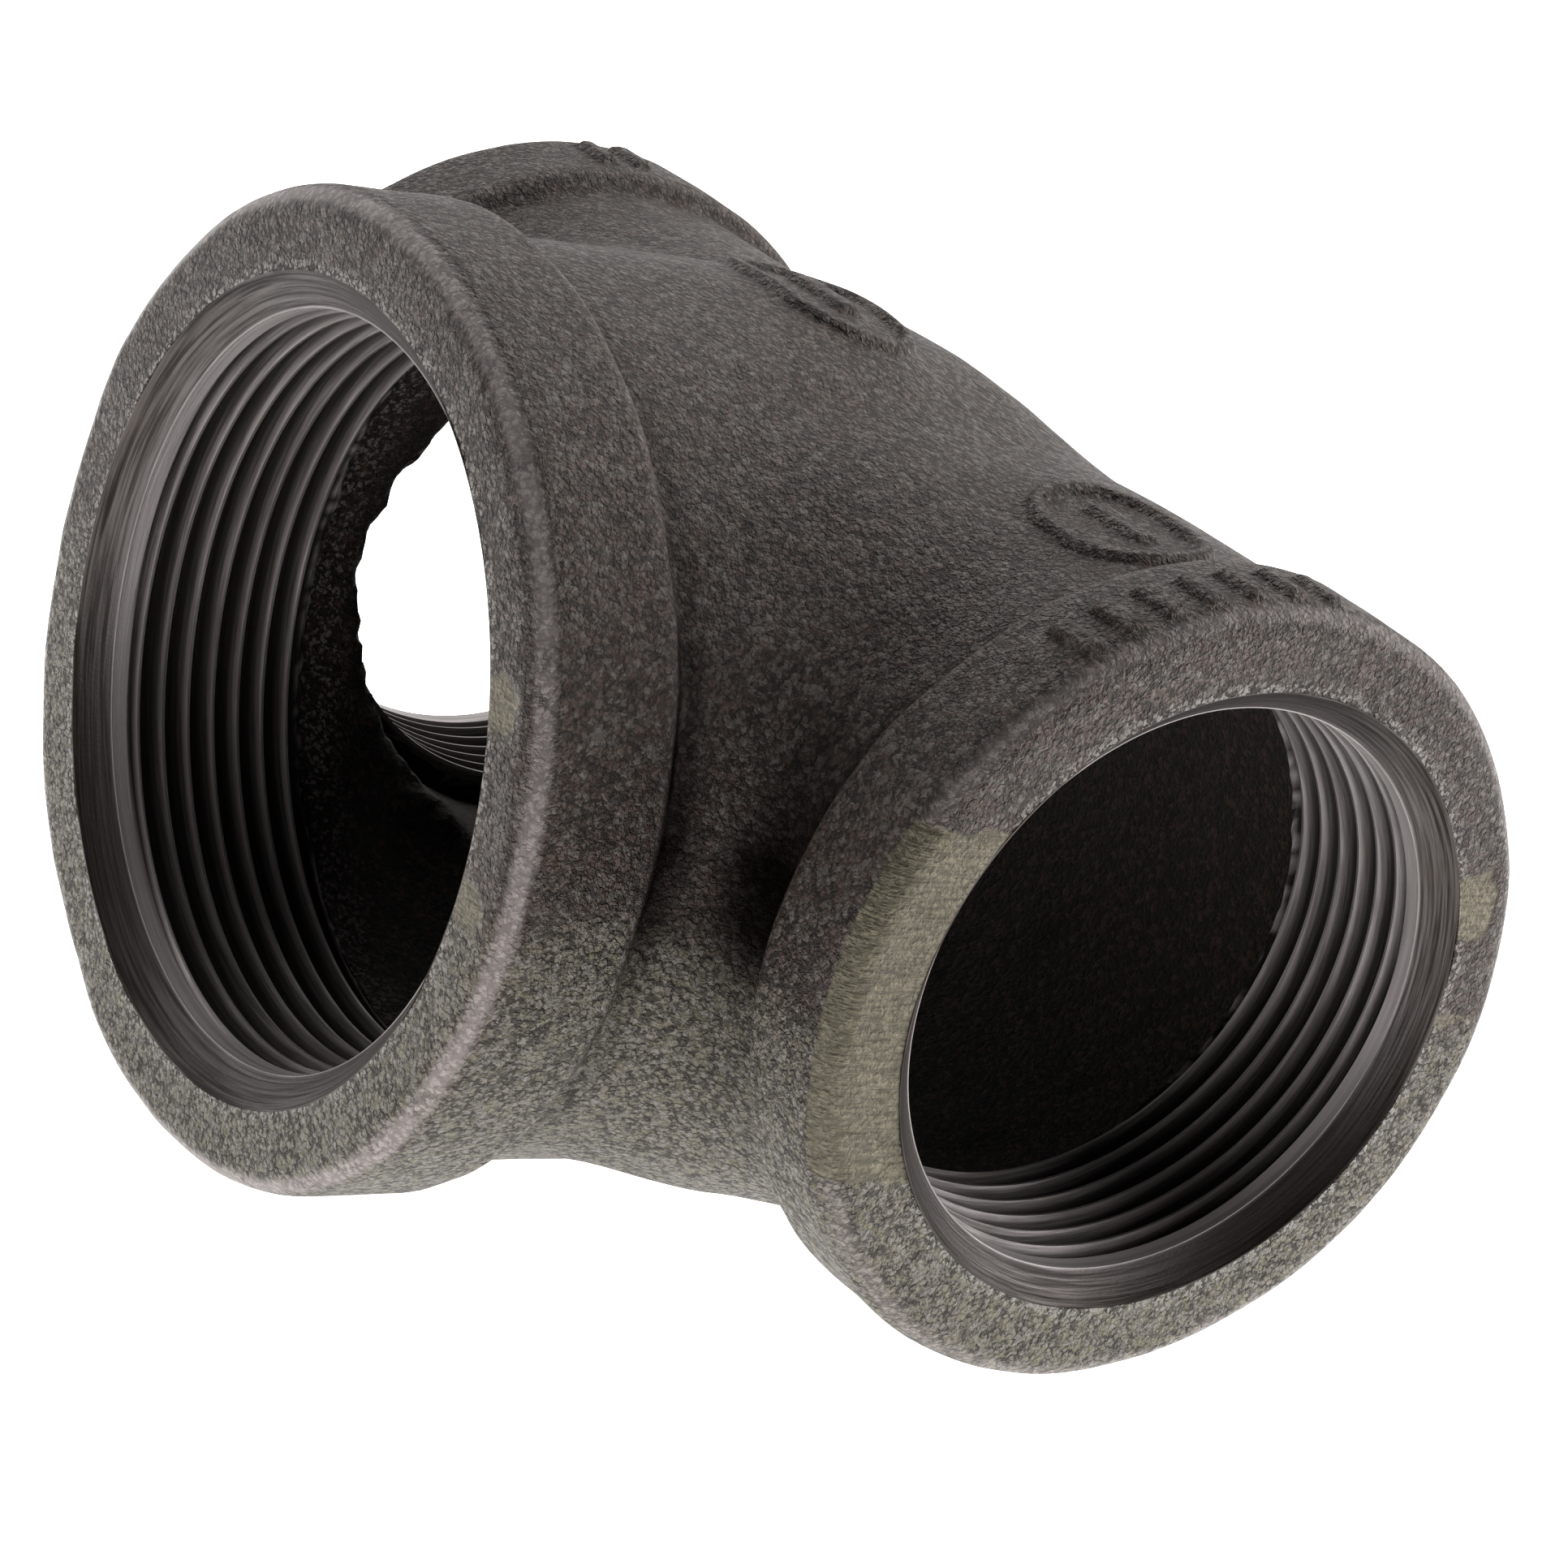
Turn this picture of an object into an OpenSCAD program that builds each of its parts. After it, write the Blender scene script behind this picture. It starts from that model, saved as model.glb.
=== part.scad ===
// Reducing tee, 1-1/2 x 1-1/2 run with a larger 2 inch branch, in malleable iron.
// The tee lies flat: the run is along X, the branch opens towards -Y, and +Z is up.
// The origin is on the floor, under the middle of the bounding box.

/* [Reach] */
// Centre of the run to the face of each run port
run_reach = 53; // [50:0.5:58]
// Centre of the run to the face of the branch port
branch_reach = 49; // [47.5:0.5:55]

/* [Bands] */
// Outside diameter of the bands on the run ports
run_band_d = 62.2; // [61:0.2:64]
// Width of the bands on the run ports
run_band_w = 10; // [8.5:0.5:11]
// Outside diameter of the band on the branch port
branch_band_d = 75.3; // [74:0.1:78]
// Width of the band on the branch port
branch_band_w = 11.8; // [10:0.2:12.4]
// Radius of the rounded outer corner of each band
band_corner = 2.4; // [1:0.2:3]

/* [Cast body] */
// Outside diameter of the run barrel between its bands
run_barrel_d = 58; // [57:0.5:59]
// Outside diameter of the branch barrel
branch_barrel_d = 70.4; // [69.6:0.2:72]
// Diameter of the cored waterway along the run
run_core_d = 49; // [48.6:0.2:49.8]
// Diameter of the cored waterway in the branch
branch_core_d = 61; // [60.6:0.2:62]

/* [Pipe threads] */
// Distance from one thread crest to the next
thread_pitch = 2.2087; // [2.1:0.0001:2.4]
// Depth of the countersink at each mouth
countersink = 2.2; // [1.5:0.1:2.6]
// Mouth diameter of the run ports
run_mouth_d = 49.2; // [48.6:0.1:49.8]
// Mouth diameter of the branch port
branch_mouth_d = 62.2; // [61.4:0.1:62.8]
// Crest diameter at the face of the run ports
run_crest_d = 45.25; // [44.8:0.05:45.6]
// Crest diameter at the face of the branch port
branch_crest_d = 57.3; // [56.8:0.1:57.6]
// Number of full crests in the run ports
run_turns = 6; // [5:1:6]
// Number of full crests in the branch port
branch_turns = 7; // [6:1:7]

/* [Cast marks] */
// Length of each raised oval on the body, along the run
oval_length = 17; // [14:1:20]
// Width of each raised oval on the body
oval_width = 12; // [9:0.5:13]
// How far the cast marks stand above the skin
mark_height = 0.8; // [0.4:0.1:1.2]
// Number of raised bars on the band of the right run port
band_bars = 7; // [5:1:9]

/* [Hidden] */
$fn = 96;
corner_steps = 6;

// Run axis above the floor, and behind the origin
axis_z = branch_band_d / 2;
axis_y = (branch_reach - run_band_d / 2) / 2;

// Pipe thread: taper of the radius, flat on each crest, and groove
taper = 1 / 32;
crest_flat = 0.22 * thread_pitch;
root_flat = 0.05 * thread_pitch;
groove_w = thread_pitch - crest_flat;
thread_depth = (groove_w - root_flat) / 2 / tan(30);
first_land = 1.5;
thread_runout = 0.9;

// Each threaded lining is a sleeve this much wider than its mouth
sleeve_lip = 1.3;
run_sleeve_d = run_mouth_d + sleeve_lip;
branch_sleeve_d = branch_mouth_d + sleeve_lip;

// Soft inner edge of a band, and the ball that closes the branch barrel
band_inner_edge = 1.2;
ball_back = 9;

iron = [0.22, 0.20, 0.195];
iron_light = [0.30, 0.28, 0.27];
cut_iron = [0.36, 0.34, 0.335];

// Depth of crest number k, counted from the countersink, below the face
function crest_depth(k) = countersink + first_land + groove_w + crest_flat / 2 + (k - 1) * thread_pitch;
function crest_radius(face_d, depth) = face_d / 2 - taper * depth;
function lining_depth(turns) = crest_depth(turns) + thread_runout;

// Points of an arc, as radius and height, from one angle to another
function arc(centre, r, from, to, steps) = [
    for (i = [0 : steps]) let (a = from + (to - from) * i / steps)
        [centre[0] + r * cos(a), centre[1] + r * sin(a)]
];

// One crest and the groove outside it, walked from the deep side outwards
function crest_and_groove(face_d, k) =
    let (
        z = -crest_depth(k),
        r = crest_radius(face_d, crest_depth(k)),
        groove = z + crest_flat / 2 + groove_w / 2
    )
    [
        [r, z - crest_flat / 2],
        [r, z + crest_flat / 2],
        [r + thread_depth, groove - root_flat / 2],
        [r + thread_depth, groove + root_flat / 2]
    ];

// Everything of a port is drawn with its face at height 0 and its axis up, then placed
module at_right() {
    translate([run_reach, axis_y, axis_z]) rotate([0, 90, 0]) children();
}
module at_left() {
    translate([-run_reach, axis_y, axis_z]) rotate([0, -90, 0]) children();
}
module at_branch() {
    translate([0, axis_y - branch_reach, axis_z]) rotate([90, 0, 0]) children();
}

// A band: a ring with a rounded outer corner at the face and a softer one behind
module band(outer_d, inner_d, width) {
    r = outer_d / 2;
    rotate_extrude()
        polygon(concat(
            [[inner_d / 2, -width], [inner_d / 2, 0]],
            arc([r - band_corner, -band_corner], band_corner, 90, 0, corner_steps),
            arc([r - band_inner_edge, band_inner_edge - width], band_inner_edge, 0, -90, corner_steps)
        ));
}

// A threaded lining: countersink, broad first land, then crests and grooves
module lining(outer_d, mouth_d, face_d, turns) {
    depth = lining_depth(turns);
    rotate_extrude()
        polygon(concat(
            [[outer_d / 2, 0], [outer_d / 2, -depth]],
            [[crest_radius(face_d, depth) + thread_depth / 2, -depth]],
            [for (k = [turns : -1 : 1]) each crest_and_groove(face_d, k)],
            [
                [face_d / 2, -countersink - first_land],
                [face_d / 2, -countersink],
                [mouth_d / 2, 0]
            ]
        ));
}

// A barrel closed by a ball, used for the branch and for its core
module balled_barrel(d, length) {
    rotate_extrude()
        intersection() {
            union() {
                circle(d = d);
                square([d / 2, length]);
            }
            translate([0, -d]) square([d, d + length]);
        }
}

module along_run(d, from, to) {
    translate([from, axis_y, axis_z]) rotate([0, 90, 0]) cylinder(d = d, h = to - from);
}

// Places the branch: its ball sits a little in front of the run axis, its barrel points at the port
module branch_ball() {
    translate([0, axis_y - ball_back, axis_z]) rotate([90, 0, 0]) children();
}

module tee_body() {
    color(iron)
        difference() {
            union() body_outside(0, run_reach - run_band_w);
            along_run(run_core_d, -run_reach, run_reach);
            branch_ball() balled_barrel(branch_core_d, branch_reach);
            for (side = [-1, 1])
                translate([side * run_reach, axis_y, axis_z]) rotate([0, -90 * side, 0])
                    cylinder(d = run_sleeve_d, h = lining_depth(run_turns));
            at_branch() mirror([0, 0, 1]) cylinder(d = branch_sleeve_d, h = lining_depth(branch_turns));
        }
}

module branch_band() {
    color(iron_light) at_branch() band(branch_band_d, branch_sleeve_d, branch_band_w);
}

module run_band_right() {
    color(iron_light) at_right() band(run_band_d, run_sleeve_d, run_band_w);
}

module run_band_left() {
    color(iron_light) at_left() band(run_band_d, run_sleeve_d, run_band_w);
}

module branch_thread() {
    color(cut_iron) at_branch() lining(branch_sleeve_d, branch_mouth_d, branch_crest_d, branch_turns);
}

module run_thread_right() {
    color(cut_iron) at_right() lining(run_sleeve_d, run_mouth_d, run_crest_d, run_turns);
}

module run_thread_left() {
    color(cut_iron) at_left() lining(run_sleeve_d, run_mouth_d, run_crest_d, run_turns);
}

// A flat oval with straight sides, seen from above
module oval(length, width) {
    straight = length - width;
    union() {
        square([straight, width], center = true);
        for (side = [-1, 1]) translate([side * straight / 2, 0]) circle(d = width);
    }
}

// The outside of the cast body, grown by a skin thickness
module body_outside(grow, run_end) {
    along_run(run_barrel_d + 2 * grow, -run_end, run_end);
    branch_ball() balled_barrel(branch_barrel_d + 2 * grow, branch_reach - branch_band_w - ball_back);
}

// A raised oval rim with a plain raised bar in it, standing on the top of the body
module oval_mark(x, y, length) {
    rim = 1.1;
    bar_share = 0.45;
    run_end = run_reach - run_band_w;
    intersection() {
        difference() {
            body_outside(mark_height, run_end);
            body_outside(0, run_end + 1);
        }
        translate([x, axis_y + y, axis_z])
            linear_extrude(branch_band_d / 2) {
                difference() {
                    oval(length, oval_width);
                    oval(length - 2 * rim, oval_width - 2 * rim);
                }
                square([length * bar_share, rim * 2], center = true);
            }
    }
}

// Raised bars in a row round the top of a band
module band_bar_row(x, bars, middle, step) {
    bar = [4.4, 1.5];
    for (i = [0 : bars - 1])
        intersection() {
            difference() {
                along_run(run_band_d + 2 * mark_height, x - bar[0], x + bar[0]);
                along_run(run_band_d, x - 2 * bar[0], x + 2 * bar[0]);
            }
            translate([x, axis_y, axis_z])
                rotate([middle - 90 + (i - (bars - 1) / 2) * step, 0, 0])
                    linear_extrude(branch_band_d / 2) square(bar, center = true);
        }
}

module oval_mark_left() {
    x = 0;
    y = -9;
    color(iron_light) oval_mark(x, y, oval_length + 1);
}

module oval_mark_right() {
    x = 33.5;
    y = -2.5;
    color(iron_light) oval_mark(x, y, oval_length - 2);
}

module band_mark_right() {
    x = run_reach - 4.1;
    middle = 103;
    step = 6.5;
    color(iron_light) band_bar_row(x, band_bars, middle, step);
}

module band_mark_left() {
    x = -run_reach + 5.5;
    middle = 88;
    step = 6.5;
    color(iron_light) band_bar_row(x, 2, middle, step);
}

tee_body();
branch_band();
run_band_right();
run_band_left();
branch_thread();
run_thread_right();
run_thread_left();
oval_mark_left();
oval_mark_right();
band_mark_right();
band_mark_left();
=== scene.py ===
import math

import bmesh
import bpy
import numpy as np
from mathutils import Matrix, Vector


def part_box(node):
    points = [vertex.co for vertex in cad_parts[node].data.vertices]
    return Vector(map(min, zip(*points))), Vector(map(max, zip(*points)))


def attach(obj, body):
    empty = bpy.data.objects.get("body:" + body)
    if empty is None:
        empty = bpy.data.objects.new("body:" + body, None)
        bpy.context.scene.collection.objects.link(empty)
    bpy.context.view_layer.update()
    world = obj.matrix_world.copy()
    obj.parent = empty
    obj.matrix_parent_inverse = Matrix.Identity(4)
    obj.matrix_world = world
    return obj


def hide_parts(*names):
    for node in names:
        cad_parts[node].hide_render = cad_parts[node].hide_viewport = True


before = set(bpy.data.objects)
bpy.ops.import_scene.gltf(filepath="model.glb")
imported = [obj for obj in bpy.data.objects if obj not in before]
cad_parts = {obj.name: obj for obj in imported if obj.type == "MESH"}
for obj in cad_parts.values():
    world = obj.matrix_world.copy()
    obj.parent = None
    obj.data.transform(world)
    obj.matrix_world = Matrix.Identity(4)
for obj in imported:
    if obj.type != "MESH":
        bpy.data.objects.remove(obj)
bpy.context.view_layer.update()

# ---------------------------------------------------------------- sizes

# Lengths below are in millimetres, measured from where the run axis and the branch axis cross.
MM = 0.001
branch_band_low, branch_band_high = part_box("branch_band")
run_band_low, run_band_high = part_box("run_band_right")
run_lining_low, run_lining_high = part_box("run_thread_right")
branch_lining_low, branch_lining_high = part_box("branch_thread")

crossing = Vector((
    0,
    (run_band_low.y + run_band_high.y) / 2,
    (run_band_low.z + run_band_high.z) / 2,
))
run_reach = run_band_high.x / MM
branch_reach = (crossing.y - branch_band_low.y) / MM
run_band_r = (run_band_high.y - run_band_low.y) / 2 / MM
run_band_w = (run_band_high.x - run_band_low.x) / MM
branch_band_r = (branch_band_high.x - branch_band_low.x) / 2 / MM
branch_band_w = (branch_band_high.y - branch_band_low.y) / MM
run_lining_depth = (run_lining_high.x - run_lining_low.x) / MM
branch_lining_depth = (branch_lining_high.y - branch_lining_low.y) / MM

# the cast body and its cored waterway
run_barrel_r = 29.0
branch_barrel_r = 35.2
branch_ball_y = -9.0
run_core_r = 24.5
branch_core_r = 30.5
run_swell = 0.5
ball_flattening = 1.5
body_fillet = 4
crotch_web = 13

# the bands, which are cast a little off the axes
outer_corner = 2.4
inner_corner = 1.3
right_band_fillet = 1.6
left_band_fillet = 0.5
band_fillet = 1.8
right_band_drop = 0.12
right_band_back = 0.38
branch_band_left = 0.35

# the raised marks: where each oval's middle is, its length and its width
mark_height = 0.65
middle_oval = (0, -9, 18, 12)
right_oval = (33.5, -2.5, 15, 12)
oval_rim = 1.2
bar_step = 6.5

# the pipe threads
thread_pitch = 2.2087
thread_depth = 1.4
thread_taper = 1 / 32
crest_share = 0.10
root_share = 0.08
countersink = 2.2
run_mouth_r = 24.6
branch_mouth_r = 31.1
run_crest_r = 22.625
branch_crest_r = 28.65
thread_fade = (countersink + 1.3, countersink + 2.1)
lining_wall = 0.12

# how fine the cast surfaces are
rough_grid = 1.2
skin_grid = 0.6
core_grid = 0.8

# ---------------------------------------------------------------- shape of the casting


def soft_step(low, high, value):
    """0 below low, 1 above high, and smooth between."""
    t = np.clip((value - low) / (high - low), 0, 1)
    return t * t * (3 - 2 * t)


def soft_join(a, b, blend):
    """The union of two shapes, given as distances, with a fillet of about that size."""
    h = np.clip(blend - np.abs(a - b), 0, None) / blend
    return np.minimum(a, b) - h * h * blend / 4


def lumps(points, size, seed):
    """Smooth bumps about size across, from -1 to 1."""
    grid = points / size + seed * 17.31
    cell = np.floor(grid)
    t = grid - cell
    t = t * t * (3 - 2 * t)
    total = np.zeros(len(points))
    for corner in range(8):
        step = np.array([corner & 1, corner >> 1 & 1, corner >> 2 & 1])
        at = cell + step
        mix = np.sin(at @ np.array([127.1, 311.7, 74.7]) + seed * 5.7) * 43758.5453
        value = (mix - np.floor(mix)) * 2 - 1
        weight = np.prod(np.where(step == 1, t, 1 - t), axis=1)
        total += value * weight
    return total


def band_distance(behind_face, radial, radius, width):
    """Distance from a solid disc with a rounded outer corner and a softer one behind."""
    corner = np.where(behind_face < width / 2, outer_corner, inner_corner)
    across = np.abs(behind_face - width / 2) - width / 2 + corner
    out = radial - radius + corner
    past = np.hypot(np.clip(across, 0, None), np.clip(out, 0, None))
    return past + np.minimum(np.maximum(across, out), 0) - corner


def barrel_distances(p, run_r, branch_r):
    """Distances from the run barrel and from the branch barrel that ends in a ball."""
    x, y, z = p.T
    run = np.hypot(y, z) - run_r
    ball = np.sqrt(x * x + np.minimum(0, branch_ball_y - y) ** 2 + z * z) - branch_r
    return run, ball


def casting_distance(p):
    """Distance from the outside of the casting, without its marks."""
    x, y, z = p.T
    run, ball = barrel_distances(p, run_barrel_r, branch_barrel_r)
    # the barrels stop inside their bands
    inside_band = 3
    # the run swells a little beside the bands, and the ball is flatter over the run
    run = np.maximum(run - run_swell * soft_step(14, 28, np.abs(x)), np.abs(x) - run_reach + inside_band)
    ball = np.maximum(ball + ball_flattening * soft_step(-16, 2, y), -y - branch_reach + inside_band)
    # the web between branch and run is widest low in the crotch, and tight over the top
    crotch = soft_step(10, 26, np.abs(x)) * soft_step(2, -22, y) * soft_step(46, 29, np.abs(x))
    body = soft_join(run, ball, body_fillet + crotch_web * crotch)
    radial_right = np.hypot(y + right_band_back, z + right_band_drop)
    radial_left = np.hypot(y, z)
    radial_front = np.hypot(x + branch_band_left, z)
    right = band_distance(run_reach - x, radial_right, run_band_r, run_band_w)
    left = band_distance(run_reach + x, radial_left, run_band_r, run_band_w)
    front = band_distance(branch_reach + y, radial_front, branch_band_r, branch_band_w)
    body = soft_join(body, right, right_band_fillet)
    shape = soft_join(body, soft_join(left, front, left_band_fillet), band_fillet)
    # sand-cast surfaces are never quite true
    return shape + 0.16 * lumps(p, 9.0, 1) + 0.07 * lumps(p, 3.1, 2)


def oval_relief(p, x_middle, y_middle, length, width):
    """Raised oval rim with a plain bar in it, seen from above: 1 on the rim and the bar."""
    above_axis = 5
    x, y = p[:, 0] - x_middle, p[:, 1] - y_middle
    straight = (length - width) / 2
    edge = np.hypot(np.clip(np.abs(x) - straight, 0, None), y) - width / 2
    rim = soft_step(1.0, 0.35, np.abs(edge + oval_rim / 2))
    bar = np.maximum(np.abs(x) - length * 0.22, np.abs(y) - 1.0)
    return np.maximum(rim, soft_step(0.35, -0.35, bar)) * (p[:, 2] > above_axis)


def bar_relief(p, x_middle, bars, middle):
    """A row of short raised bars round a band: 1 on the bars."""
    half_thickness, half_length = 0.75, 2.2
    angle = np.degrees(np.arctan2(p[:, 2], p[:, 1]))
    place = (angle - middle) / bar_step + (bars - 1) / 2
    nearest = np.clip(np.round(place), 0, bars - 1)
    across = np.abs(place - nearest) * math.radians(bar_step) * run_band_r
    along = np.abs(p[:, 0] - x_middle)
    edge = np.maximum(across - half_thickness, along - half_length)
    return soft_step(0.4, -0.3, edge) * (np.hypot(p[:, 1], p[:, 2]) > run_band_r - 3)


def mark_relief(p):
    """All the raised marks: 1 on a mark and 0 off it."""
    ovals = np.maximum(oval_relief(p, *middle_oval), oval_relief(p, *right_oval))
    right_bars = bar_relief(p, run_reach - 4.1, 7, 103)
    left_bars = bar_relief(p, -run_reach + 5.5, 2, 88)
    return np.maximum(ovals, np.maximum(right_bars, left_bars))


def marked_distance(p):
    """Distance from the outside of the casting, with its marks."""
    return casting_distance(p) - mark_height * mark_relief(p)


def core_distance(p):
    """Distance from the rough cored waterway, which is roughest where run and branch meet."""
    narrowing = 0.9
    run, ball = barrel_distances(p, run_core_r, branch_core_r)
    ball = ball + narrowing * soft_step(-18, -27, p[:, 1])
    flash = soft_step(3.0, 0.5, np.abs(run - ball))
    rough = 0.2 * lumps(p, 5.0, 3) + (0.08 + 0.3 * flash) * lumps(p, 1.3, 4)
    return soft_join(run, ball, 1.2) + rough


def slope(distance, p):
    """The direction in which a distance grows, not yet of length 1."""
    reach = 0.04
    steps = np.eye(3) * reach
    ahead = [distance(p + s) - distance(p - s) for s in steps]
    return np.stack(ahead, axis=1) / (2 * reach)


# ---------------------------------------------------------------- mesh helpers


def mesh_object(name, bm):
    mesh = bpy.data.meshes.new(name)
    bm.to_mesh(mesh)
    bm.free()
    piece = bpy.data.objects.new(name, mesh)
    bpy.context.scene.collection.objects.link(piece)
    return piece


def points_of(mesh):
    co = np.zeros(len(mesh.vertices) * 3)
    mesh.vertices.foreach_get("co", co)
    return co.reshape(-1, 3)


def set_points(mesh, points):
    mesh.vertices.foreach_set("co", points.astype(np.float32).ravel())
    mesh.update()


def apply_modifiers(piece):
    """Replaces the piece's mesh with what its modifiers make of it."""
    shown = piece.evaluated_get(bpy.context.evaluated_depsgraph_get())
    made = bpy.data.meshes.new_from_object(shown)
    piece.modifiers.clear()
    old, piece.data = piece.data, made
    bpy.data.meshes.remove(old)


def remesh(piece, grid):
    even = piece.modifiers.new("even grid", "REMESH")
    even.mode = "VOXEL"
    even.voxel_size = grid
    apply_modifiers(piece)


def pull_onto(piece, distance, rounds):
    """Moves every point of the piece onto the surface where the distance is 0."""
    p = points_of(piece.data)
    for _ in range(rounds):
        g = slope(distance, p)
        size = np.clip((g * g).sum(1), 0.2, None)
        move = (distance(p) / size)[:, None] * g
        length = np.linalg.norm(move, axis=1, keepdims=True)
        p -= move * np.minimum(1, 1.5 / np.clip(length, 1e-9, None))
    set_points(piece.data, p)


def cut(piece, tool, operation="DIFFERENCE"):
    """Cuts the piece with a closed tool, then throws the tool away."""
    cutter = piece.modifiers.new("cut", "BOOLEAN")
    cutter.operation = operation
    cutter.solver = "MANIFOLD"
    cutter.object = tool
    apply_modifiers(piece)
    bpy.data.objects.remove(tool)


def copy_of(piece, name):
    twin = piece.copy()
    twin.data = piece.data.copy()
    twin.name = name
    bpy.context.scene.collection.objects.link(twin)
    return twin


# A port's own frame has its face at height 0 and its axis pointing up, out of the port.
TO_RIGHT = Matrix.Translation((run_reach, 0, 0)) @ Matrix.Rotation(math.pi / 2, 4, "Y")
TO_LEFT = Matrix.Translation((-run_reach, 0, 0)) @ Matrix.Rotation(-math.pi / 2, 4, "Y")
TO_BRANCH = Matrix.Translation((0, -branch_reach, 0)) @ Matrix.Rotation(math.pi / 2, 4, "X")


def plain_cylinder(name, radius, bottom, top, place, segments=192):
    bm = bmesh.new()
    bmesh.ops.create_cone(
        bm, cap_ends=True, segments=segments,
        radius1=radius, radius2=radius, depth=top - bottom,
        matrix=place @ Matrix.Translation((0, 0, (top + bottom) / 2)),
    )
    return mesh_object(name, bm)


def plain_box(name, low, high):
    bm = bmesh.new()
    size = Vector(high) - Vector(low)
    middle = (Vector(high) + Vector(low)) / 2
    place = Matrix.Translation(middle) @ Matrix.Diagonal((*size, 1))
    bmesh.ops.create_cube(bm, size=1, matrix=place)
    return mesh_object(name, bm)


# ---------------------------------------------------------------- the casting


def rough_tee(name, run_r, branch_r, run_end, branch_end):
    """Two crossing barrels, the branch one ending in a ball, as a start for the remesh."""
    bm = bmesh.new()
    bmesh.ops.create_cone(
        bm, cap_ends=True, segments=64, radius1=run_r, radius2=run_r,
        depth=2 * run_end, matrix=Matrix.Rotation(math.pi / 2, 4, "Y"),
    )
    length = branch_end + branch_ball_y
    middle = Matrix.Translation((0, branch_ball_y - length / 2, 0))
    bmesh.ops.create_cone(
        bm, cap_ends=True, segments=64, radius1=branch_r, radius2=branch_r, depth=length,
        matrix=middle @ Matrix.Rotation(math.pi / 2, 4, "X"),
    )
    bmesh.ops.create_uvsphere(
        bm, u_segments=64, v_segments=32, radius=branch_r,
        matrix=Matrix.Translation((0, branch_ball_y, 0)),
    )
    return mesh_object(name, bm)


def add_disc(piece, radius, bottom, top, place):
    """Adds a band's rough disc to the start of the remesh."""
    bm = bmesh.new()
    bm.from_mesh(piece.data)
    bmesh.ops.create_cone(
        bm, cap_ends=True, segments=96, radius1=radius, radius2=radius, depth=top - bottom,
        matrix=place @ Matrix.Translation((0, 0, (top + bottom) / 2)),
    )
    bm.to_mesh(piece.data)
    bm.free()


def refine_marks(piece):
    """Splits the grid where the raised marks stand, and pulls it onto them."""
    bm = bmesh.new()
    bm.from_mesh(piece.data)
    p = np.array([v.co for v in bm.verts])
    near = np.zeros(len(p), bool)
    reach = 0.7
    for shift in np.vstack([np.zeros(3), np.eye(3) * reach, -np.eye(3) * reach]):
        near |= mark_relief(p + shift) > 0.02
    bm.verts.ensure_lookup_table()
    edges = [e for e in bm.edges if near[e.verts[0].index] and near[e.verts[1].index]]
    bmesh.ops.subdivide_edges(bm, edges=edges, cuts=2, use_grid_fill=True)
    bmesh.ops.triangulate(bm, faces=[f for f in bm.faces if len(f.verts) > 4])
    bm.to_mesh(piece.data)
    bm.free()
    pull_onto(piece, marked_distance, 4)


def make_skin():
    skin = rough_tee("tee_casting", run_barrel_r, branch_barrel_r, run_reach - 2, branch_reach - 2)
    add_disc(skin, run_band_r, -run_band_w, 0, TO_RIGHT)
    add_disc(skin, run_band_r, -run_band_w, 0, TO_LEFT)
    add_disc(skin, branch_band_r, -branch_band_w, 0, TO_BRANCH)
    remesh(skin, rough_grid)
    pull_onto(skin, casting_distance, 3)
    remesh(skin, skin_grid)
    pull_onto(skin, casting_distance, 3)
    refine_marks(skin)
    return skin


def make_core():
    """The cored waterway, left true at its ends, which the bores cut away."""
    short, true_end = 8, 10
    core = rough_tee("core", run_core_r, branch_core_r, run_reach - short, branch_reach - short)
    remesh(core, core_grid)
    p = points_of(core.data)
    inside = (np.abs(p[:, 0]) < run_reach - true_end) & (p[:, 1] > -branch_reach + true_end)
    pull_onto(core, core_distance, 3)
    q = points_of(core.data)
    q[~inside] = p[~inside]
    set_points(core.data, q)
    return core


def mouth_radius(port_mouth):
    return port_mouth + lining_wall


past_face = 5
skin = make_skin()
cut(skin, make_core())
for place in (TO_RIGHT, TO_LEFT):
    cut(skin, plain_cylinder("bore", mouth_radius(run_mouth_r), -run_lining_depth, past_face, place))
cut(skin, plain_cylinder("bore", mouth_radius(branch_mouth_r), -branch_lining_depth, past_face, TO_BRANCH))

far = 90
right_cut = run_reach - run_band_w
branch_cut = branch_reach - branch_band_w
right_band = copy_of(skin, "run_band_right_cast")
cut(right_band, plain_box("zone", (right_cut, -far, -far), (far, far, far)), "INTERSECT")
left_band = copy_of(skin, "run_band_left_cast")
cut(left_band, plain_box("zone", (-far, -far, -far), (-right_cut, far, far)), "INTERSECT")
branch_band = copy_of(skin, "branch_band_cast")
cut(branch_band, plain_box("zone", (-far, -far, -far), (far, -branch_cut, far)), "INTERSECT")
casting = skin
cut(casting, plain_box("zone", (-right_cut, -branch_cut, -far), (right_cut, far, far)), "INTERSECT")

# ---------------------------------------------------------------- the threads


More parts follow.
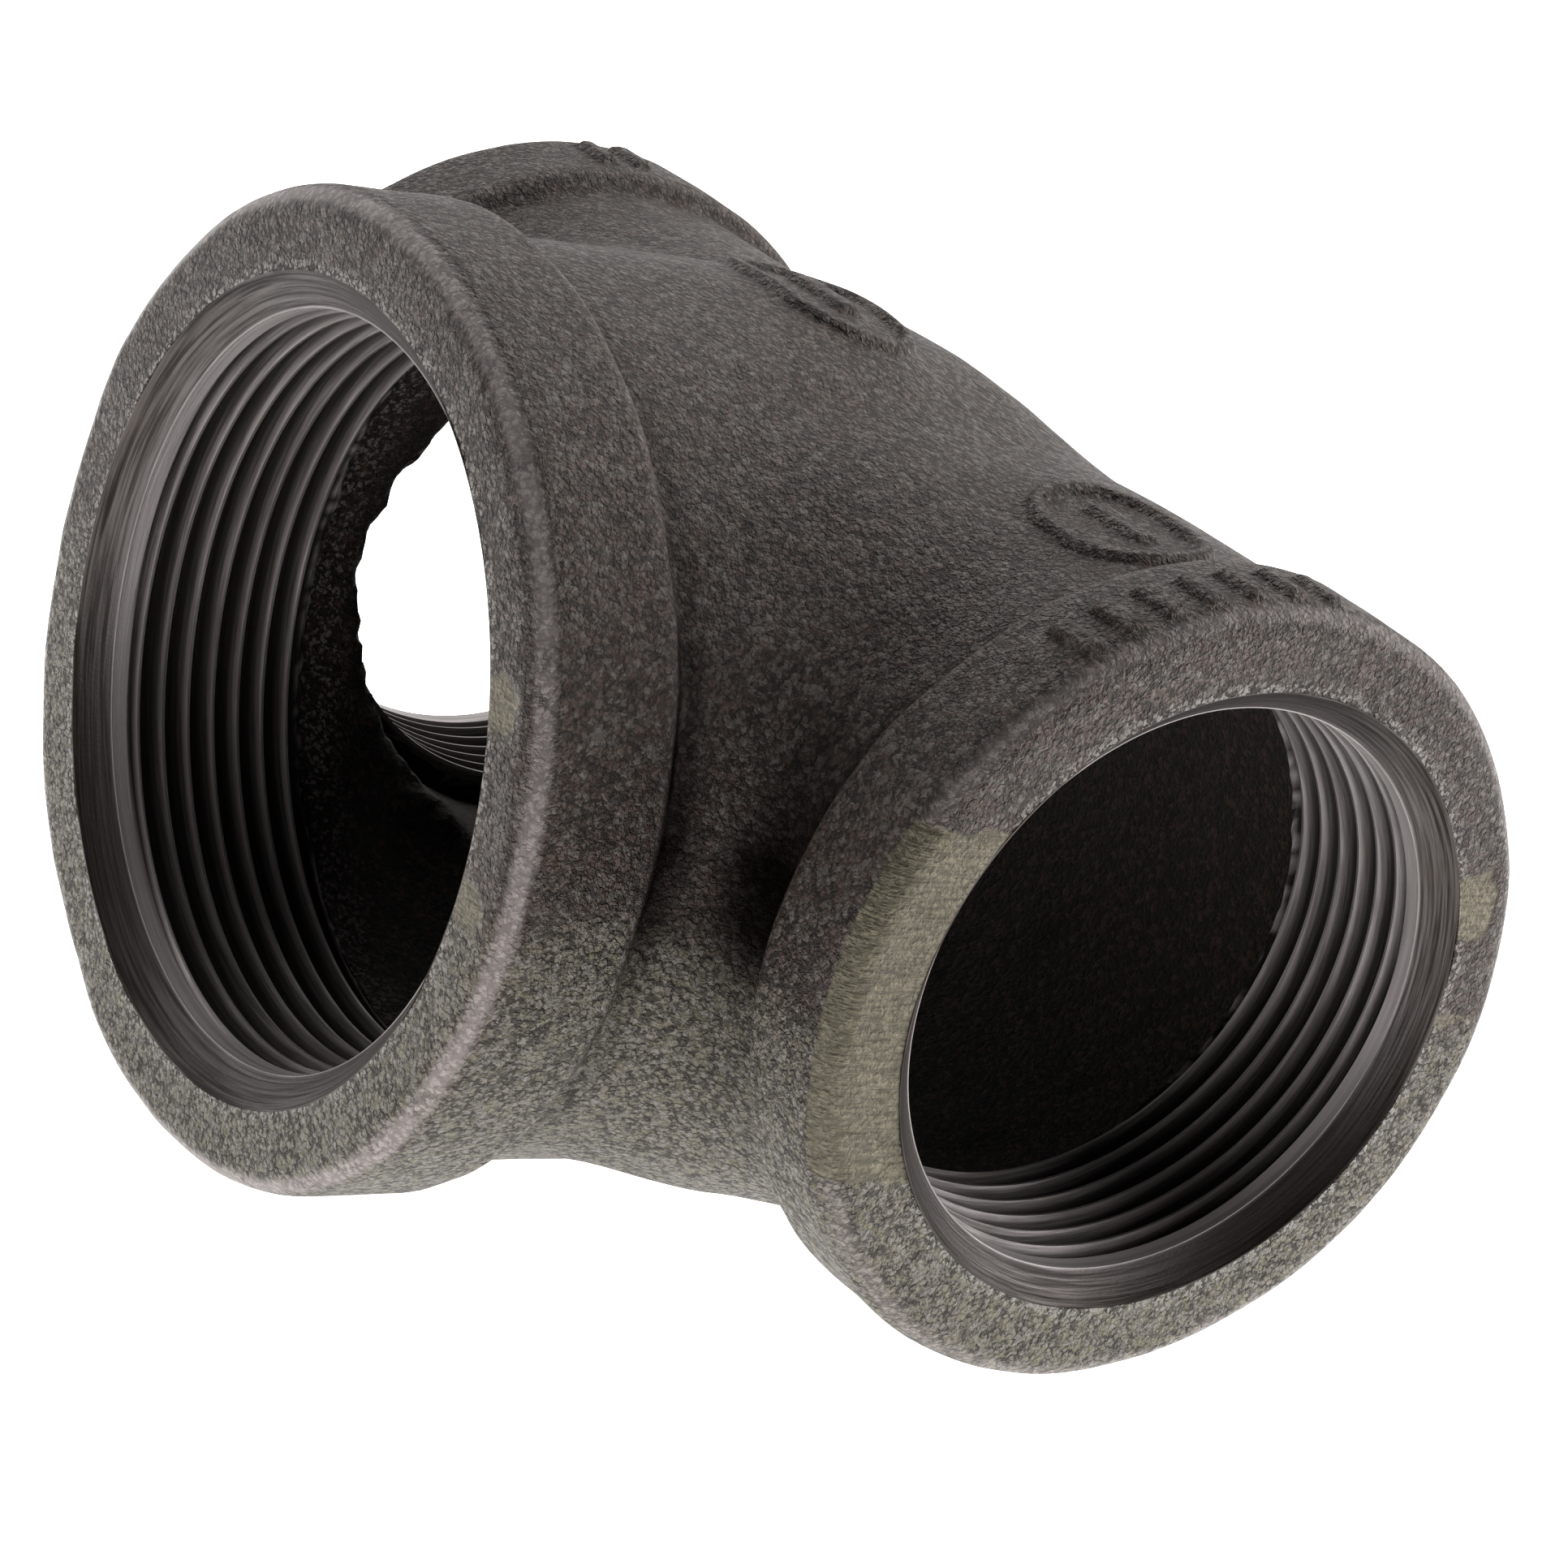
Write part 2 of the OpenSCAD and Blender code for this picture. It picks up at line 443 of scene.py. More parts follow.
def make_tap(name, crest_r, depth, phase, flare, segments):
    """The shape of a taper tap: a right-handed screw whose ridges cut the thread grooves."""
    crest = crest_share * thread_pitch
    root = root_share * thread_pitch
    flank = (thread_pitch - crest - root) / 2
    # one turn of the tap, from a crest of the finished thread over the ridge that cuts its groove
    turn = [(0.0, 0.0), (crest / 2, 0.0), (crest, 0.0)]
    turn += [(crest + flank * s, thread_depth * s) for s in (1 / 3, 2 / 3, 1)]
    turn += [(crest + flank + root + flank * s, thread_depth * (1 - s)) for s in (0, 1 / 3, 2 / 3)]
    # the screw starts and ends well past the planes that trim it
    spare = 3
    turns = math.ceil(depth / thread_pitch) + 2 * spare
    bm = bmesh.new()
    bottom = -depth - spare * thread_pitch
    line = [
        bm.verts.new((crest_r + out, 0, bottom + (k + phase) * thread_pitch + up))
        for k in range(turns) for up, out in turn
    ]
    edges = [bm.edges.new(pair) for pair in zip(line, line[1:])]
    bmesh.ops.spin(
        bm, geom=line + edges, cent=(0, 0, 0), axis=(0, 0, 1), angle=2 * math.pi,
        steps=segments, dvec=(0, 0, thread_pitch / segments), use_merge=False,
    )
    bmesh.ops.remove_doubles(bm, verts=bm.verts, dist=0.01)
    for height, side in ((-depth - 0.4, -1), (1.0, 1)):
        bmesh.ops.bisect_plane(
            bm, geom=bm.verts[:] + bm.edges[:] + bm.faces[:], dist=1e-4,
            plane_co=(0, 0, height), plane_no=(0, 0, side), clear_outer=True,
        )
        rim = [e for e in bm.edges if e.is_boundary and abs(e.verts[0].co.z - height) < 1e-3]
        bmesh.ops.contextual_create(bm, geom=rim)
    bmesh.ops.triangulate(bm, faces=[f for f in bm.faces if len(f.verts) > 8])
    bmesh.ops.recalc_face_normals(bm, faces=bm.faces)
    for v in bm.verts:
        radius = math.hypot(v.co.x, v.co.y)
        # the middles of the end faces stay on the axis
        if radius > 1:
            sunk = -v.co.z
            # the grooves fade out in the first land, just behind the countersink
            fade = float(soft_step(*thread_fade, sunk))
            ridge = (radius - crest_r) * fade
            opening = flare * float(soft_step(depth - 1.8, depth + 0.3, sunk))
            scale = (crest_r - thread_taper * max(sunk, 0) + max(ridge, opening)) / radius
            v.co.x *= scale
            v.co.y *= scale
    return mesh_object(name, bm)


def make_lining(name, place, mouth_r, crest_r, depth, phase, flare, seed, segments):
    """A threaded lining: a sleeve cut by the tap, with a countersunk mouth and a ragged end.

    The phase is where round the port the thread starts, as a share of a turn, and the flare is how
    much the tap's nose opened the last of the sleeve.
    """
    lining = plain_cylinder(name, mouth_radius(mouth_r), -depth, 0, Matrix.Identity(4), segments)
    cut(lining, make_tap("tap", crest_r, depth, phase, flare, segments))
    bm = bmesh.new()
    bmesh.ops.create_cone(
        bm, cap_ends=True, segments=segments, radius1=crest_r, depth=countersink + 1,
        radius2=crest_r + (mouth_r - crest_r) * (countersink + 1) / countersink,
        matrix=Matrix.Translation((0, 0, (1 - countersink) / 2)),
    )
    cut(lining, mesh_object("countersink", bm))
    # rings of points where the finish changes
    bm = bmesh.new()
    bm.from_mesh(lining.data)
    for sunk in (countersink - 0.12, countersink + 0.12, countersink + 1.7, depth - 0.9, depth - 0.45):
        bmesh.ops.bisect_plane(
            bm, geom=bm.verts[:] + bm.edges[:] + bm.faces[:], dist=1e-4,
            plane_co=(0, 0, -sunk), plane_no=(0, 0, 1),
        )
    bm.to_mesh(lining.data)
    bm.free()
    p = points_of(lining.data)
    # the tap left a torn edge where the thread meets the cored waterway
    deep = soft_step(-depth + 0.5, -depth, p[:, 2]) * (np.hypot(p[:, 0], p[:, 1]) < mouth_r - 0.3)
    p[:, 2] += deep * (0.32 * lumps(p, 0.9, seed) + 0.25 * lumps(p, 3.0, seed + 1))
    set_points(lining.data, p)
    lining.data.transform(place)
    return lining


branch_port = (TO_BRANCH, branch_mouth_r, branch_crest_r, branch_lining_depth)
right_port = (TO_RIGHT, run_mouth_r, run_crest_r, run_lining_depth)
left_port = (TO_LEFT, run_mouth_r, run_crest_r, run_lining_depth)
branch_lining = make_lining("branch_thread_cut", *branch_port, 0.30, flare=1.6, seed=11, segments=256)
right_lining = make_lining("run_thread_right_cut", *right_port, 0.45, flare=0.4, seed=13, segments=224)
left_lining = make_lining("run_thread_left_cut", *left_port, 0.10, flare=0.4, seed=15, segments=224)

# ---------------------------------------------------------------- wear and dirt, kept on the points


def add_mask(piece, name, values):
    mask = piece.data.attributes.new(name, "FLOAT", "POINT")
    mask.data.foreach_set("value", np.clip(values, 0, 1).astype(np.float32))


def angle_between(angle, start, end):
    """1 where an angle in degrees lies between start and end, going up."""
    turned = (angle - start) % 360
    width = (end - start) % 360
    return soft_step(0, 2, turned) * soft_step(width, width - 2, turned)


def wear_masks(piece):
    """Marks the core, the torn metal, the rubbed and ground places, the hollows to darken with painted
    shade, and the underside.
    """
    p = points_of(piece.data)
    x, y, z = p.T
    run_radial, branch_radial = np.hypot(y, z), np.hypot(x, z)
    outside = casting_distance(p)
    g = slope(casting_distance, p)
    g /= np.clip(np.linalg.norm(g, axis=1, keepdims=True), 1e-6, None)
    core = soft_step(-0.5, -1.2, outside)

    # rubbed lines along the outer corners of the bands
    wander = 0.5 * lumps(p, 6.0, 5)
    run_edge = np.hypot(run_reach - np.abs(x) - 0.9, run_radial - run_band_r + 0.9 + wander * 0.4)
    branch_edge = np.hypot(branch_reach + y - 0.8, branch_radial - branch_band_r + 0.8 + wander * 0.4)
    rubbed = np.maximum(soft_step(1.15, 0.5, branch_edge), 0.5 * soft_step(1.1, 0.4, run_edge))
    run_lip = np.hypot(run_reach - np.abs(x), run_radial - run_mouth_r - 0.2)
    branch_lip = np.hypot(branch_reach + y, branch_radial - branch_mouth_r - 0.2)
    lip = soft_step(0.9, 0.2, np.minimum(run_lip, branch_lip))
    run_back = np.hypot(run_reach - run_band_w - np.abs(x) + 0.6, run_radial - run_band_r + 0.5)
    branch_back = np.hypot(branch_reach - branch_band_w + y + 0.6, branch_radial - branch_band_r + 0.5)
    back_edge = soft_step(1.1, 0.3, np.minimum(run_back, branch_back))

    # patches where a belt has ground the faces flush
    ragged = 1.3 * lumps(p, 2.5, 6) + 0.6 * lumps(p, 1.1, 7)
    on_right = soft_step(2.0, 1.3, run_reach - x)
    right_angle = np.degrees(np.arctan2(z, y)) + ragged * 1.2
    ground = soft_step(14.0, 13.0, np.abs(z + ragged * 0.35)) * (y < 0)
    ground *= soft_step(32.4, 31.6, run_radial + ragged * 0.3)
    near_mouth = soft_step(29.6, 28.0, run_radial + ragged)
    ground = np.maximum(ground, angle_between(right_angle, 12, 26) * near_mouth * 0.7)
    ground = np.maximum(ground, angle_between(right_angle, 355, 360) * near_mouth * 0.6)
    ground *= on_right
    on_branch = soft_step(0.9, 0.35, branch_reach + y)
    branch_angle = np.degrees(np.arctan2(z, x)) + ragged
    branch_ragged = branch_radial + ragged * 0.8
    upper_patch = angle_between(branch_angle, 17, 27) * soft_step(35.5, 33.5, branch_ragged)
    lower_patch = angle_between(branch_angle, 352, 361) * soft_step(35.0, 33.2, branch_ragged)
    ground = np.maximum(ground, np.maximum(upper_patch, lower_patch) * on_branch * 0.8)

    # painted shade darkens the hollows; below the parting line the skin is greyer, partly in its own
    # colour and partly as painted bounce light from the floor
    crease_shade = np.zeros(len(p))
    for reach in (2.5, 6.0):
        crease_shade += np.clip(1 - casting_distance(p + g * reach) / reach, 0, 1) / 2
    # paler below the parting line and more so lower down: partly the skin's own colour, partly painted
    # bounce light from the floor
    under = 0.7 * soft_step(0, -4, z + 1.2 * lumps(p, 5.0, 8)) + 0.3 * soft_step(0, -28, z)
    past_thread = y + branch_reach - branch_lining_depth
    torn = soft_step(-1.0, 0.2, past_thread) * soft_step(5.5, 1.5, past_thread + 1.5 * lumps(p, 2.0, 9))
    add_mask(piece, "torn", torn * core * (branch_radial > branch_core_r - 6))
    add_mask(piece, "core", core)
    add_mask(piece, "rubbed", np.maximum(rubbed, 0.12 * back_edge))
    add_mask(piece, "lip", lip)
    add_mask(piece, "ground", ground)
    # the painted shade is strongest in the hollows at the sides, less on top, and hardly at all
    # underneath, where more light falls
    crease_shade = soft_step(0.03, 0.33, crease_shade)
    crease_shade *= (1 - 0.65 * soft_step(10, 30, z)) * (1 - 0.6 * soft_step(0, -8, z))
    add_mask(piece, "crease_shade", crease_shade * (1 - core))
    add_mask(piece, "under", under)


for piece in (casting, branch_band, right_band, left_band):
    wear_masks(piece)


# ---------------------------------------------------------------- shader helpers


class Nodes:
    """Short ways to add and join nodes in one tree."""

    def __init__(self, tree):
        self.tree = tree

    def add(self, kind, **values):
        node = self.tree.nodes.new("ShaderNode" + kind)
        for name, value in values.items():
            setattr(node, name, value)
        return node

    def join(self, start, end):
        self.tree.links.new(start, end)

    def put(self, value, socket):
        """Joins an output to the socket, or writes a plain value on it."""
        if isinstance(value, bpy.types.NodeSocket):
            self.join(value, socket)
        else:
            socket.default_value = value

    def math(self, operation, a, b=0.0, c=0.0, clamp=False):
        node = self.add("Math", operation=operation, use_clamp=clamp)
        for value, socket in zip((a, b, c), node.inputs):
            self.put(value, socket)
        return node.outputs[0]

    def mix(self, share, a, b):
        """Mixes two colours. The Mix node's colour sockets go by number, as names repeat on it."""
        colour_a, colour_b, colour_out = 6, 7, 2
        node = self.add("Mix", data_type="RGBA")
        self.put(share, node.inputs["Factor"])
        self.put(a, node.inputs[colour_a])
        self.put(b, node.inputs[colour_b])
        return node.outputs[colour_out]

    def spread(self, value, low, high, to_low=0.0, to_high=1.0):
        node = self.add("MapRange", interpolation_type="SMOOTHSTEP")
        self.put(value, node.inputs["Value"])
        node.inputs["From Min"].default_value = low
        node.inputs["From Max"].default_value = high
        node.inputs["To Min"].default_value = to_low
        node.inputs["To Max"].default_value = to_high
        return node.outputs["Result"]

    def noise(self, where, scale, detail=2.0, roughness=0.5):
        node = self.add("TexNoise")
        self.put(where, node.inputs["Vector"])
        self.put(scale, node.inputs["Scale"])
        node.inputs["Detail"].default_value = detail
        node.inputs["Roughness"].default_value = roughness
        return node.outputs[0]

    def mask(self, name):
        return self.add("Attribute", attribute_type="GEOMETRY", attribute_name=name).outputs["Fac"]


def new_group(name, inputs, outputs):
    """A node group with its sockets, and the sockets of its input and output nodes."""
    group = bpy.data.node_groups.new(name, "ShaderNodeTree")
    for label, kind, value in inputs:
        socket = group.interface.new_socket(label, in_out="INPUT", socket_type=kind)
        if value is not None:
            socket.default_value = value
    for label, kind in outputs:
        group.interface.new_socket(label, in_out="OUTPUT", socket_type=kind)
    given = group.nodes.new("NodeGroupInput").outputs
    out = group.nodes.new("NodeGroupOutput").inputs
    return group, Nodes(group), given, out


def build_sand_grain():
    """Sand-cast grain: a height, a shade, and masks of the pale and the tinted grains."""
    group, n, given, out = new_group(
        "sand grain",
        [
            ("Where", "NodeSocketVector", None),
            ("Grains per metre", "NodeSocketFloat", 2050.0),
        ],
        [
            ("Height", "NodeSocketFloat"),
            ("Shade", "NodeSocketFloat"),
            ("Pale grains", "NodeSocketFloat"),
            ("Tinted grains", "NodeSocketFloat"),
        ],
    )
    where, scale = given["Where"], given["Grains per metre"]
    fine = n.noise(where, n.math("MULTIPLY", scale, 2.4), 2.0, 0.6)
    coarse = n.noise(where, n.math("MULTIPLY", scale, 0.42), 2.0, 0.5)
    # irregular grains: cells whose edges are pushed about by a finer noise
    push = n.add("TexNoise")
    n.join(where, push.inputs["Vector"])
    n.join(n.math("MULTIPLY", scale, 1.3), push.inputs["Scale"])
    shift = n.add("VectorMath", operation="MULTIPLY_ADD")
    n.join(push.outputs["Color"], shift.inputs[0])
    shift.inputs[1].default_value = (0.0007, 0.0007, 0.0007)
    n.join(where, shift.inputs[2])
    cells = n.add("TexVoronoi")
    n.join(shift.outputs[0], cells.inputs["Vector"])
    n.join(scale, cells.inputs["Scale"])
    chance = n.add("SeparateColor")
    n.join(cells.outputs["Color"], chance.inputs[0])
    dome = n.spread(cells.outputs["Distance"], 0.25, 0.68, 1.0, 0.0)
    height = n.math("ADD", n.math("MULTIPLY", dome, 0.35), n.math("MULTIPLY", chance.outputs[0], 0.35))
    height = n.math("MULTIPLY_ADD", fine, 0.45, height)
    n.join(n.math("MULTIPLY_ADD", coarse, 0.5, height), out["Height"])
    shade = n.math("MULTIPLY_ADD", fine, 0.4, n.math("MULTIPLY", chance.outputs[0], 0.4))
    shade = n.math("MULTIPLY_ADD", dome, 0.4, n.math("MULTIPLY_ADD", coarse, 0.15, shade))
    n.join(n.spread(shade, 0.42, 1.05), out["Shade"])
    pale = n.math("MULTIPLY_ADD", fine, 0.6, chance.outputs[1])
    n.join(n.spread(pale, 1.02, 1.18), out["Pale grains"])
    tinted = n.math("MULTIPLY_ADD", fine, 0.6, chance.outputs[2])
    n.join(n.spread(tinted, 0.98, 1.14), out["Tinted grains"])
    return group


def build_streaks():
    """Fine lines left by a tool: the input is stretched along the way that the tool ran."""
    group, n, given, out = new_group(
        "tool streaks",
        [
            ("Where", "NodeSocketVector", None),
            ("Lines per metre", "NodeSocketVector", (90.0, 90.0, 5000.0)),
        ],
        [("Lines", "NodeSocketFloat"), ("Bands", "NodeSocketFloat")],
    )
    stretched = n.add("VectorMath", operation="MULTIPLY")
    n.join(given["Where"], stretched.inputs[0])
    n.join(given["Lines per metre"], stretched.inputs[1])
    n.join(n.noise(stretched.outputs[0], 1.0, 3.0, 0.65), out["Lines"])
    n.join(n.noise(stretched.outputs[0], 0.27, 2.0, 0.5), out["Bands"])
    return group


sand_grain = build_sand_grain()
tool_streaks = build_streaks()


def new_material(name):
    material = bpy.data.materials.new(name)
    material.use_nodes = True
    tree = material.node_tree
    tree.nodes.clear()
    n = Nodes(tree)
    surface = n.add("BsdfPrincipled")
    out = n.add("OutputMaterial")
    n.join(surface.outputs["BSDF"], out.inputs["Surface"])
    return material, n, surface


def place_group(n, group, **values):
    """Adds a node group. An underline in a keyword stands for a space in the socket's name."""
    node = n.add("Group", node_tree=group)
    for name, value in values.items():
        n.put(value, node.inputs[name.replace("_", " ")])
    return node.outputs


def grey(value):
    return (value, value, value, 1)


def shaded(colour, tone):
    return (*(tone * part for part in colour), 1)


def add_bump(n, height, strength, distance, surface):
    bump = n.add("Bump")
    bump.inputs["Strength"].default_value = strength
    bump.inputs["Distance"].default_value = distance
    n.join(height, bump.inputs["Height"])
    n.join(bump.outputs["Normal"], surface.inputs["Normal"])


def cast_skin_material(name, tone):
    """Black sand-cast skin, with rubbed corners, ground patches and a black cored inside."""
    material, n, surface = new_material(name)
    where = n.add("TexCoord").outputs["Object"]
    grain = place_group(n, sand_grain, Where=where)
    streaks = place_group(n, tool_streaks, Where=where, Lines_per_metre=(900.0, 420.0, 4200.0))
    broad = n.noise(where, 60.0, 3.0, 0.55)
    medium = n.noise(where, 260.0, 2.0, 0.5)

    # brown-black scale, and a paler olive skin below the parting line, which also holds painted bounce
    # light from the floor
    scale_dark = shaded((0.0045, 0.0033, 0.0027), tone)
    scale_pale = shaded((0.082, 0.060, 0.050), tone)
    colour = n.mix(grain["Shade"], scale_dark, scale_pale)
    stain = (0.012, 0.009, 0.0075, 1)
    colour = n.mix(n.spread(broad, 0.3, 0.7, 0.0, 0.25), colour, stain)
    under = n.mask("under")
    lower_skin_and_bounce = n.mix(grain["Shade"], (0.018, 0.016, 0.0115, 1), (0.215, 0.197, 0.160, 1))
    colour = n.mix(n.math("MULTIPLY", under, 0.9), colour, lower_skin_and_bounce)

    # single grains of reddish, olive and pale sand
    red_grain, olive_grain = (0.085, 0.048, 0.036, 1), (0.185, 0.170, 0.112, 1)
    pale_grain = (0.21, 0.195, 0.175, 1)
    grain_share = n.math("MULTIPLY_ADD", under, 0.35, 0.35)
    tint_share = n.math("MULTIPLY", grain["Tinted grains"], grain_share)
    colour = n.mix(tint_share, colour, n.mix(under, red_grain, olive_grain))
    colour = n.mix(n.math("MULTIPLY", grain["Pale grains"], grain_share), colour, pale_grain)

    # painted shade in the creases
    crease_shade_colour = (0.003, 0.0027, 0.002, 1)
    crease_shade = n.math("MULTIPLY", n.mask("crease_shade"), n.spread(medium, 0.2, 0.6, 0.8, 1.0), clamp=True)
    colour = n.mix(n.math("MULTIPLY", crease_shade, 0.97), colour, crease_shade_colour)

    # corners rubbed to bare grey iron, and the sharp lip round each mouth
    rub_noise = n.math("MULTIPLY_ADD", medium, 0.5, n.math("MULTIPLY", grain["Shade"], 0.25))
    rubbed = n.math("MULTIPLY", n.mask("rubbed"), n.spread(rub_noise, 0.04, 0.28), clamp=True)
    bare_iron = n.mix(grain["Shade"], (0.19, 0.165, 0.159, 1), (0.33, 0.292, 0.283, 1))
    colour = n.mix(n.math("MULTIPLY", rubbed, 0.9), colour, bare_iron)
    lip_iron = (0.30, 0.285, 0.265, 1)
    lip = n.math("MULTIPLY", n.mask("lip"), n.spread(grain["Shade"], 0.1, 0.7), clamp=True)
    colour = n.mix(n.math("MULTIPLY", lip, 0.7), colour, lip_iron)

    # olive patches ground flush, with the belt's scratches
    ground = n.math("MULTIPLY_ADD", medium, 0.25, n.mask("ground"))
    ground = n.spread(n.math("MULTIPLY_ADD", grain["Shade"], 0.12, ground), 0.45, 0.85)
    scratch = n.math("MULTIPLY", n.spread(streaks["Lines"], 0.25, 0.75), 0.6)
    scratch = n.math("MULTIPLY_ADD", grain["Shade"], 0.45, scratch)
    ground_iron = n.mix(scratch, (0.036, 0.032, 0.021, 1), (0.170, 0.154, 0.104, 1))
    deep_scratch = n.math("MULTIPLY", n.spread(streaks["Bands"], 0.70, 0.76), 0.7)
    ground_iron = n.mix(deep_scratch, ground_iron, (0.02, 0.018, 0.012, 1))
    colour = n.mix(n.math("MULTIPLY", ground, 0.93), colour, ground_iron)

    # the cored inside, black with specks of rust, and torn metal behind the branch thread
    core_black, rust = (0.004, 0.0036, 0.003, 1), (0.050, 0.026, 0.018, 1)
    torn_iron = (0.11, 0.098, 0.093, 1)
    core = n.mask("core")
    torn = n.math("MULTIPLY", n.mask("torn"), n.spread(grain["Shade"], 0.2, 0.9), clamp=True)
    inside = n.mix(n.math("MULTIPLY", grain["Pale grains"], 0.6), core_black, rust)
    colour = n.mix(core, colour, n.mix(torn, inside, torn_iron))
    n.join(colour, surface.inputs["Base Color"])

    rough = n.mix(grain["Shade"], grey(0.58), grey(0.40))
    for mask, roughness in ((crease_shade, 1.0), (rubbed, 0.46), (ground, 0.42), (core, 0.8)):
        rough = n.mix(mask, rough, grey(roughness))
    n.join(rough, surface.inputs["Roughness"])
    metal = n.math("MAXIMUM", n.math("MULTIPLY", ground, 0.35), n.math("MULTIPLY", crease_shade, crease_shade))
    n.join(metal, surface.inputs["Metallic"])
    surface.inputs["Specular IOR Level"].default_value = 0.4
    surface.inputs["Specular Tint"].default_value = (1.0, 0.89, 0.83, 1)

    worn = n.math("MAXIMUM", n.math("MULTIPLY", ground, 0.7), n.math("MULTIPLY", rubbed, 0.75))
    height = n.math("MULTIPLY", grain["Height"], n.math("SUBTRACT", 1.0, worn))
    height = n.math("ADD", height, n.math("MULTIPLY", n.math("MULTIPLY", streaks["Lines"], ground), 0.35))
    add_bump(n, height, 0.9, 0.5 * MM, surface)
    return material


def cut_iron_material(name, lines):
    """Turned iron inside a port: fine rings, darker in the grooves with painted shadow, brighter on the
    crests partly with painted highlight, with an oily sheen.
    """
    material, n, surface = new_material(name)
    where = n.add("TexCoord").outputs["Object"]
    streaks = place_group(n, tool_streaks, Where=where, Lines_per_metre=lines)
    grain = place_group(n, sand_grain, Where=where, Grains_per_metre=2600.0)
    patches = n.noise(where, 120.0, 3.0, 0.6)
    line = n.spread(streaks["Lines"], 0.34, 0.66)
    colour = n.mix(line, (0.040, 0.033, 0.030, 1), (0.135, 0.120, 0.116, 1))
    oil_stain, groove_shadow_colour = (0.075, 0.055, 0.047, 1), (0.014, 0.012, 0.011, 1)
    crest_iron_and_highlight = (0.58, 0.53, 0.52, 1)
    colour = n.mix(n.spread(patches, 0.45, 0.7, 0.0, 0.45), colour, oil_stain)
    groove = n.mask("groove")
    # painted shadow in the thread roots
    colour = n.mix(n.math("MULTIPLY", groove, 0.85), colour, groove_shadow_colour)
    tool_bands = n.spread(streaks["Bands"], 0.3, 0.6, 0.55, 1.0)
    # the crests are bare cut iron brightened with painted highlight; the torn end is bright burr
    bright = n.math("MULTIPLY", n.mask("bright"), tool_bands, clamp=True)
    colour = n.mix(n.math("MULTIPLY", bright, 0.8), colour, crest_iron_and_highlight)
    dull = n.mask("dull")
    dull_iron = n.mix(line, (0.013, 0.010, 0.0085, 1), (0.062, 0.053, 0.049, 1))
    colour = n.mix(n.math("MULTIPLY", dull, 0.92), colour, dull_iron)
    n.join(colour, surface.inputs["Base Color"])
    rough = n.mix(line, grey(0.55), grey(0.36))
    n.join(n.mix(groove, rough, grey(0.7)), surface.inputs["Roughness"])
    shine = n.math("MULTIPLY_ADD", dull, 0.45, n.math("MULTIPLY_ADD", groove, 0.2, 0.5))
    n.join(shine, surface.inputs["Metallic"])
    height = n.math("MULTIPLY_ADD", grain["Height"], 0.25, streaks["Lines"])
    add_bump(n, height, 0.45, 0.12 * MM, surface)
    return material


def lining_masks(lining, place, crest_r, depth):
    """Which points are deep in a groove, on a bright crest or on the dull countersink."""
    q = points_of(lining.data)
    back = np.array(place.inverted())
    p = q @ back[:3, :3].T + back[:3, 3]
    radial, sunk = np.hypot(p[:, 0], p[:, 1]), -p[:, 2]
    above = radial - (crest_r - thread_taper * sunk)
    in_thread = soft_step(countersink - 0.1, countersink + 0.1, sunk)
    # the groove mask carries painted shadow in the thread roots
    add_mask(lining, "groove", soft_step(0.02, 1.0, above) * in_thread)
    # crests get bare iron with painted highlight, more on the first turns behind the countersink
    crest = soft_step(0.3, 0.02, np.abs(above)) * in_thread
    first = soft_step(countersink + 2.4, countersink + 1.9, sunk)
    torn = soft_step(depth - 0.8, depth - 0.2, sunk) * (above < 1.8)
    torn = torn * soft_step(-0.3, 0.5, lumps(q, 0.8, 21))
    add_mask(lining, "bright", np.maximum(crest * (0.3 + 0.7 * first), 0.8 * torn))
    add_mask(lining, "dull", soft_step(countersink, countersink - 0.25, sunk))


lining_masks(branch_lining, TO_BRANCH, branch_crest_r, branch_lining_depth)
lining_masks(right_lining, TO_RIGHT, run_crest_r, run_lining_depth)
lining_masks(left_lining, TO_LEFT, run_crest_r, run_lining_depth)

cast_skin = cast_skin_material("cast skin", 1.0)
band_skin = cast_skin_material("band skin", 1.05)
# lines per metre: the tool ran round each port, so its lines are close together along the axis
branch_iron = cut_iron_material("cut iron of the branch port", (90.0, 5200.0, 90.0))
run_iron = cut_iron_material("cut iron of the run ports", (5200.0, 90.0, 90.0))

# ---------------------------------------------------------------- set the pieces in the frame, in place of their CAD parts

TO_FRAME = Matrix.Translation(crossing) @ Matrix.Scale(MM, 4)


def finish_piece(piece, material, slot, sharp_angle, *nodes):
    """Sets the piece in the frame, in metres, in the place of its CAD nodes."""
    piece.data.transform(TO_FRAME)
    piece.data.materials.clear()
    piece.data.materials.append(material)
    piece.data.shade_smooth()
    piece.data.set_sharp_from_angle(angle=math.radians(sharp_angle))
    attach(piece, "root")
    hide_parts(*nodes)


cast_edge, cut_edge = 50, 28
finish_piece(casting, cast_skin, "cast_skin", cast_edge, "tee_body", "oval_mark_left", "oval_mark_right")
finish_piece(branch_band, band_skin, "band_skin", cast_edge, "branch_band")
finish_piece(right_band, band_skin, "band_skin", cast_edge, "run_band_right", "band_mark_right")
finish_piece(left_band, band_skin, "band_skin", cast_edge, "run_band_left", "band_mark_left")
finish_piece(branch_lining, branch_iron, "cut_thread", cut_edge, "branch_thread")
finish_piece(right_lining, run_iron, "cut_thread", cut_edge, "run_thread_right")
finish_piece(left_lining, run_iron, "cut_thread", cut_edge, "run_thread_left")

# ---------------------------------------------------------------- floor, light and camera

view_azimuth, view_elevation, view_roll = map(math.radians, (51.96, 18.79, 15.82))


